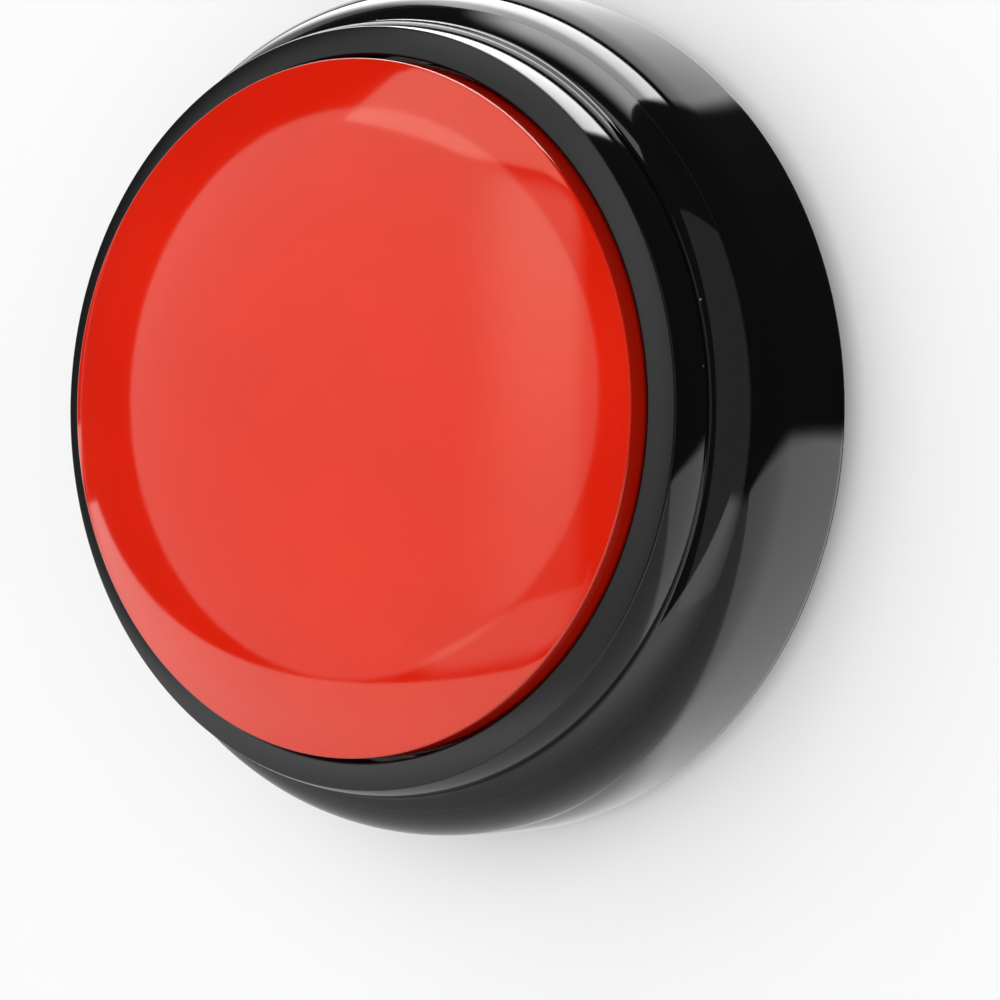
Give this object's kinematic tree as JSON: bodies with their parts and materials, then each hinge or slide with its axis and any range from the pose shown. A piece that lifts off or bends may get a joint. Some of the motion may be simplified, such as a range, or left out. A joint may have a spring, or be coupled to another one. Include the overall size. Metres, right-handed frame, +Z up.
{
  "type": "quiz buzzer",
  "caption": "Round tabletop quiz buzzer with a domed red press cap in a black stepped housing, standing on rubber feet, with a battery door and speaker grille underneath.",
  "frame": {"origin": "on the table under the middle of the housing, level with the undersides of the feet", "axes": "+Z up through the middle of the cap, +X to the right and +Y towards the speaker end of the base plate"},
  "size_m": [0.0888, 0.0888, 0.0356],
  "materials": {
    "black_gloss": "gloss black moulding",
    "black_satin": "fine satin black moulding",
    "red_gloss": "gloss red moulding",
    "rubber": "matt black",
    "steel": "zinc-plated",
    "nickel": "nickel-plated sheet and wire",
    "cell_jacket": "plain blue jacket",
    "board": "green lacquer",
    "cone": "matt black film",
    "ferrite": "plain ferrite grey",
    "epoxy": "black epoxy",
    "can_sleeve": "dark blue sleeve",
    "red_wire": "red insulation",
    "black_wire": "black insulation"
  },
  "bodies": {
    "case": {"housing": "black_gloss", "base_plate": "black_satin", "foot_1": "rubber", "foot_2": "rubber", "foot_3": "rubber", "foot_4": "rubber", "case_screw_1": "steel", "case_screw_2": "steel", "case_screw_3": "steel", "case_screw_4": "steel", "battery_cell_1": "cell_jacket", "battery_cell_2": "cell_jacket", "contact_positive": "nickel", "contact_negative": "nickel", "contact_bridge": "nickel", "contact_spring_1": "nickel", "contact_spring_2": "nickel", "speaker_frame": "steel", "speaker_cone": "cone", "speaker_magnet": "ferrite", "circuit_board": "board", "board_screw_1": "steel", "board_screw_2": "steel", "board_screw_3": "steel", "board_screw_4": "steel", "switch_body": "black_satin", "sound_chip": "epoxy", "capacitor": "can_sleeve", "speaker_lead_1": "red_wire", "speaker_lead_2": "black_wire", "battery_lead_1": "red_wire", "battery_lead_2": "black_wire", "return_spring_1": "steel", "return_spring_2": "steel", "return_spring_3": "steel"},
    "button": {"button_cap": "red_gloss"},
    "switch": {"switch_stem": "black_satin"},
    "door": {"battery_door": "black_satin", "door_screw": "steel"}
  },
  "joints": [
    {"name": "button_press", "type": "slide", "parent": "case", "child": "button", "axis": [0, 0, -1], "range_m": [0, 0.003], "stiffness_N_per_m": 600, "springref_m": -0.004, "deforming": ["return_spring_1", "return_spring_2", "return_spring_3"]},
    {"name": "switch_press", "type": "slide", "parent": "case", "child": "switch", "axis": [0, 0, -1], "range_m": [0, 0.00025]},
    {"name": "battery_door_open", "type": "hinge", "parent": "case", "child": "door", "pos_m": [0, 0, 0.002], "axis": [1, 0, 0], "range_deg": [0, 50]}
  ],
  "couplings": [
    {"joint": "switch_press", "follows": "button_press", "ratio": 0.083333}
  ]
}
